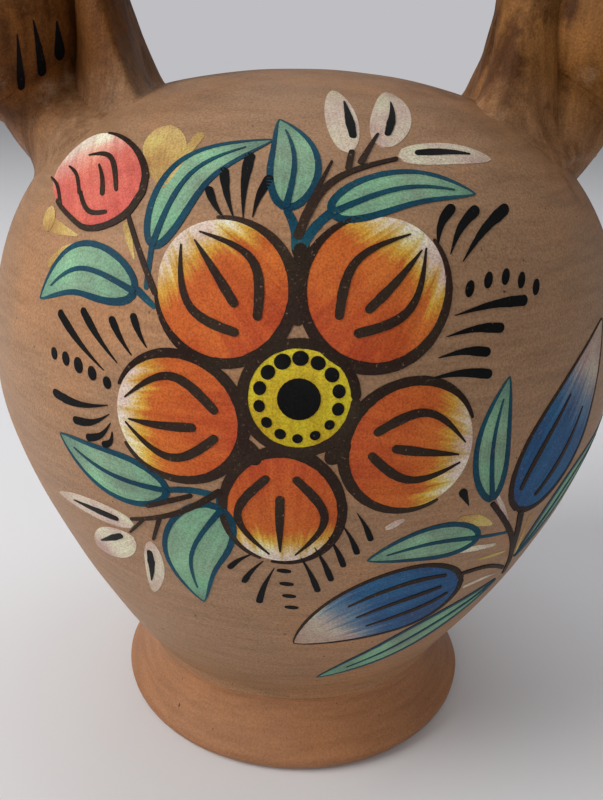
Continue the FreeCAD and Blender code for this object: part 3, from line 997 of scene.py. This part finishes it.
# Each paint: its slot, how far the brush drags one colour into the next, how much clay shows
# through, its roughness, and its colour stops from the heart or stalk to the tip.
PAINTS = {
    "petal_paint": ("flower_paint", 0.46, 0.26, 0.50, (
        (0.20, (0.44, 0.055, 0.026)), (0.45, (0.52, 0.105, 0.026)), (0.70, (0.55, 0.135, 0.028)),
        (0.80, (0.62, 0.36, 0.050)), (0.88, (0.68, 0.54, 0.26)), (0.95, (0.68, 0.58, 0.48)))),
    "red_bud_paint": ("bud_paint", 0.26, 0.22, 0.50, (
        (0.0, (0.58, 0.105, 0.085)), (0.60, (0.62, 0.16, 0.12)),
        (0.78, (0.70, 0.34, 0.27)), (0.90, (0.72, 0.63, 0.52)))),
    "blue_bud_paint": ("bud_paint", 0.44, 0.30, 0.48, (
        (0.0, (0.018, 0.076, 0.19)), (0.50, (0.030, 0.112, 0.25)), (0.64, (0.13, 0.20, 0.29)),
        (0.76, (0.50, 0.42, 0.34)), (1.0, (0.42, 0.30, 0.22)))),
    "leaf_paint": ("leaf_paint", 0.25, 0.22, 0.50, (
        (0.0, (0.17, 0.33, 0.22)), (0.6, (0.24, 0.42, 0.27)), (1.0, (0.13, 0.27, 0.20)))),
    "teal_line_paint": ("line_paint", 0.3, 0.18, 0.46, (
        (0.0, (0.006, 0.048, 0.080)), (0.7, (0.010, 0.065, 0.105)), (1.0, (0.02, 0.08, 0.10)))),
    "dark_line_paint": ("line_paint", 0.3, 0.24, 0.50, (
        (0.0, (0.024, 0.014, 0.010)), (1.0, (0.038, 0.023, 0.016)))),
    "black_paint": ("line_paint", 0.3, 0.12, 0.45, (
        (0.0, (0.004, 0.004, 0.005)), (1.0, (0.008, 0.008, 0.008)))),
    "yellow_paint": ("flower_paint", 0.4, 0.16, 0.45, (
        (0.0, (0.52, 0.38, 0.020)), (1.0, (0.66, 0.52, 0.035)))),
    "soft_yellow_paint": ("pale_paint", 0.3, 0.32, 0.55, (
        (0.0, (0.40, 0.25, 0.09)), (0.5, (0.52, 0.37, 0.12)), (1.0, (0.58, 0.43, 0.17)))),
    "white_paint": ("pale_paint", 0.3, 0.28, 0.55, (
        (0.0, (0.60, 0.51, 0.40)), (0.6, (0.62, 0.53, 0.43)), (0.9, (0.52, 0.42, 0.33)))),
}


@functools.cache
def paint_material(name):
    _, drag, wear, rough, stops = PAINTS[name]
    n = Nodes(name)
    uv = n.add("ShaderNodeUVMap", uv_map="paint")
    bristle = n.noise(1.0, 4, 0.62, (15, 1.4, 1), (uv, "UV"))
    split = n.add("ShaderNodeSeparateXYZ")
    n.feed(split, "Vector", (uv, "UV"))
    dragged = n.math("MULTIPLY_ADD", (bristle, "Fac"), drag, (split, "Y"))
    colour = n.ramp(n.math("SUBTRACT", dragged, drag / 2), stops)
    colour = n.tint(colour, (bristle, "Fac"),
                    [(0.30, (0.84, 0.82, 0.80)), (0.5, 1), (0.70, (1.10, 1.12, 1.12))])
    clouds = n.noise(70.0, 3, 0.55), "Fac"
    colour = n.tint(colour, clouds, [(0.32, (0.82, 0.62, 0.70)), (0.50, (1, 0.95, 0.95)),
                                     (0.66, (1.10, 1.24, 1.12))], 0.8)
    speck = n.noise(1900.0, 2, 0.6)
    colour = n.tint(colour, (speck, "Fac"),
                    [(0.36, (0.62, 0.58, 0.54)), (0.5, 1), (0.64, (1.26, 1.26, 1.24))], 0.6)
    thin = n.noise(1100.0, 4, 0.7), "Fac"
    bare = n.ramp(thin, [(0.70 - 0.35 * wear, 0), (0.78 - 0.2 * wear, 0.8)])
    gloss = n.ramp(clouds, [(0.3, rough - 0.08), (0.7, rough + 0.10)])
    relief = n.mix(0.5, (bristle, "Color"), (speck, "Color"))
    return n.finish(n.mix(bare, colour, WORN_CLAY), gloss, PAINT_SHINE, relief, 0.25, PAINT_RELIEF)


# ---- stage ----

def make_stage():
    size = 4.0
    mesh = bpy.data.meshes.new("floor")
    mesh.from_pydata([(-size, -size, 0), (size, -size, 0), (size, size, 0), (-size, size, 0)],
                     [], [(0, 1, 2, 3)])
    floor = bpy.data.objects.new("floor", mesh)
    bpy.context.scene.collection.objects.link(floor)
    n = Nodes("floor_matt")
    n.feed(n.shader, "Base Color", (0.80, 0.80, 0.82))
    n.feed(n.shader, "Roughness", 0.9)
    mesh.materials.append(n.material)


# Lamps: place and size in metres, power in watts, colour.
LAMPS = {
    "window": ((-1.25, -0.45, 1.05), (0.9, 0.9), 19, (1.0, 0.985, 0.96)),
    "ceiling": ((0.1, 0.5, 1.7), (1.6, 1.6), 10, (0.97, 0.98, 1.0)),
    "front_fill": ((-0.2, -1.6, 0.7), (1.4, 1.0), 4, (1.0, 0.99, 0.97)),
}
LAMPS_AIM = (0, 0, 0.14)
ROOM_LIGHT = (0.90, 0.91, 0.93, 1)
ROOM_STRENGTH = 0.26
BACKDROP = (0.52, 0.52, 0.545, 1)


def area_light(name, place, size, power, colour):
    light = bpy.data.lights.new(name, "AREA")
    light.shape = "RECTANGLE"
    light.size, light.size_y = size
    light.energy = power
    light.color = colour
    lamp = bpy.data.objects.new(name, light)
    lamp.location = place
    lamp.rotation_euler = (Vector(LAMPS_AIM) - Vector(place)).to_track_quat("-Z", "Y").to_euler()
    bpy.context.scene.collection.objects.link(lamp)


def make_lights():
    for name, (place, size, power, colour) in LAMPS.items():
        area_light(name, place, size, power, colour)
    world = bpy.data.worlds.new("room")
    world.use_nodes = True
    nodes, links = world.node_tree.nodes, world.node_tree.links
    back = nodes["Background"]
    back.inputs["Color"].default_value = ROOM_LIGHT
    back.inputs["Strength"].default_value = ROOM_STRENGTH
    seen = nodes.new("ShaderNodeBackground")
    seen.inputs["Color"].default_value = BACKDROP
    rays = nodes.new("ShaderNodeLightPath")
    choose = nodes.new("ShaderNodeMixShader")
    links.new(rays.outputs["Is Camera Ray"], choose.inputs[0])
    links.new(back.outputs[0], choose.inputs[1])
    links.new(seen.outputs[0], choose.inputs[2])
    links.new(choose.outputs[0], nodes["World Output"].inputs["Surface"])
    bpy.context.scene.world = world
    bpy.context.scene.view_settings.view_transform = "Standard"


CAMERA_PLACE = (0, -0.3015, 0.2355)
CAMERA_ANGLES = (22.02, -0.11, 2.14)    # looking down, turned to the right, rolled; degrees
CAMERA_LENS = 39.6


def make_camera():
    pitch, yaw, roll = (math.radians(angle) for angle in CAMERA_ANGLES)
    ahead = Vector((math.sin(yaw) * math.cos(pitch), math.cos(yaw) * math.cos(pitch), -math.sin(pitch)))
    level = Vector((math.cos(yaw), -math.sin(yaw), 0))
    upright = level.cross(ahead)
    right = level * math.cos(roll) + upright * math.sin(roll)
    up = upright * math.cos(roll) - level * math.sin(roll)
    data = bpy.data.cameras.new("camera")
    data.sensor_width = 36
    data.lens = CAMERA_LENS
    data.clip_start = 0.01
    camera = bpy.data.objects.new("camera", data)
    turn = Matrix((right, up, -ahead)).transposed().to_4x4()
    camera.matrix_world = Matrix.Translation(CAMERA_PLACE) @ turn
    bpy.context.scene.collection.objects.link(camera)
    bpy.context.scene.camera = camera


make_stage()
make_lights()
make_camera()
make_foot()
make_body()
make_handle()
for spout_side, spout_name in SIDES:
    make_spout(spout_side, spout_name)
paint_flower()
paint_leaves()
paint_buds()
paint_accents()
